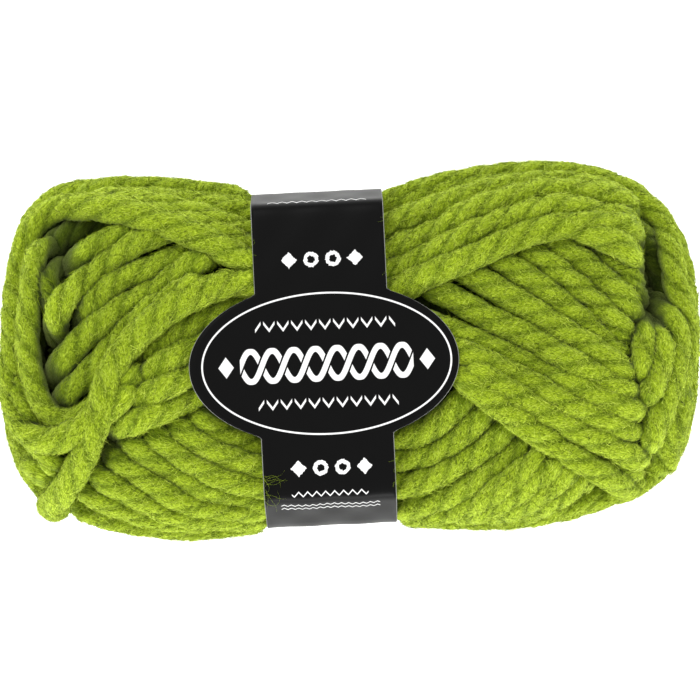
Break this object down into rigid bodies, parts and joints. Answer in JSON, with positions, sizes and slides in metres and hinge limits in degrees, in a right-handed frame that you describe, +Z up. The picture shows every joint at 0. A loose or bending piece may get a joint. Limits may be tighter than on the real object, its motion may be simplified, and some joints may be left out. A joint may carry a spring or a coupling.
{
  "type": "ball of yarn",
  "caption": "Oblong wound ball of chunky two-ply yarn held in a card band with an oval front, lying on its back.",
  "frame": {"origin": "on the surface the ball lies on, under the middle of its bounding box", "axes": "+X along the ball, +Y across it, +Z up out of the side that carries the oval of the band"},
  "size_m": [0.1584, 0.0853, 0.0588],
  "materials": {
    "yarn": "matte, hairy lime green acrylic yarn of two plies",
    "card": "satin black printed card with a white border line"
  },
  "bodies": {
    "root": {"yarn_ball": "yarn", "label_band": "card"}
  },
  "joints": []
}
